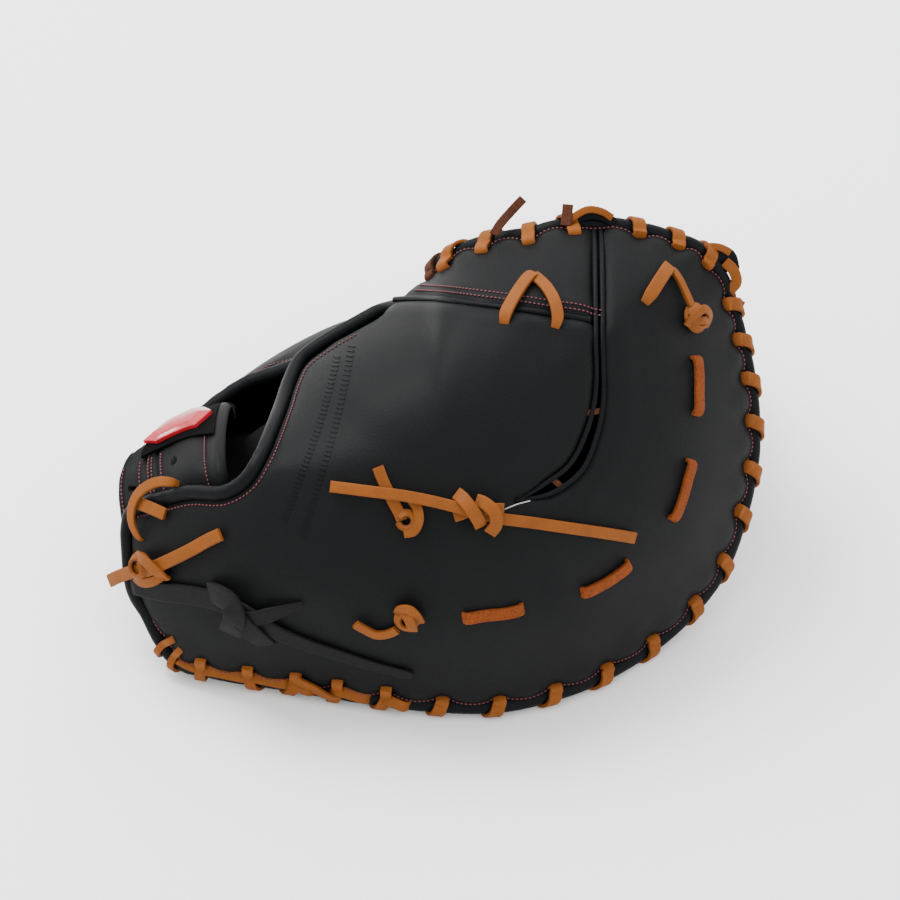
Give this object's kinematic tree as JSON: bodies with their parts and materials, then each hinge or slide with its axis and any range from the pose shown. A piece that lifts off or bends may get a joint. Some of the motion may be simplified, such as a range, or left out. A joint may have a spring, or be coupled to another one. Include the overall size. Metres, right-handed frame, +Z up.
{
  "type": "first baseman mitt",
  "caption": "Right-hand first baseman mitt in black leather with tan laces, lying palm down, that catches a ball in its deep pocket",
  "frame": {"origin": "on the floor, under the middle of the box", "axes": "+X from the heel to the finger tips, +Y from the finger side to the thumb side, +Z up"},
  "size_m": [0.2774, 0.2268, 0.1568],
  "materials": {
    "leather": "black grained leather, dull sheen",
    "palm_leather": "black leather, worn in the pocket",
    "trim": "black rolled leather",
    "lace": "tan rawhide lace",
    "tie": "matt black lace",
    "felt": "black felt",
    "badge": "red, raised and bevelled, plain"
  },
  "bodies": {
    "root": {"finger_back": "leather", "index_panel": "leather", "thumb_back": "leather", "wrist_strap": "leather", "web_panel": "leather", "palm_shell": "palm_leather", "finger_binding": "trim", "thumb_binding": "trim", "hand_hole_roll": "trim", "slit_piping_tip": "trim", "slit_piping_heel": "trim", "seam_roll": "trim", "v_lace": "lace", "corner_lace": "lace", "dash_lace_1": "lace", "dash_lace_2": "lace", "dash_lace_3": "lace", "dash_lace_4": "lace", "long_lace": "lace", "x_lace": "lace", "curl_lace": "lace", "strap_loop_lace": "lace", "heel_knot_lace": "lace", "top_lace_end_heel": "lace", "top_lace_end_tip": "lace", "heel_lace": "lace", "finger_rim_lace": "lace", "tip_rim_lace": "lace", "top_rim_lace": "lace", "thumb_rim_lace": "lace", "web_rim_lace": "lace", "black_tie": "tie", "badge_backing": "felt", "badge": "badge"}
  },
  "joints": []
}
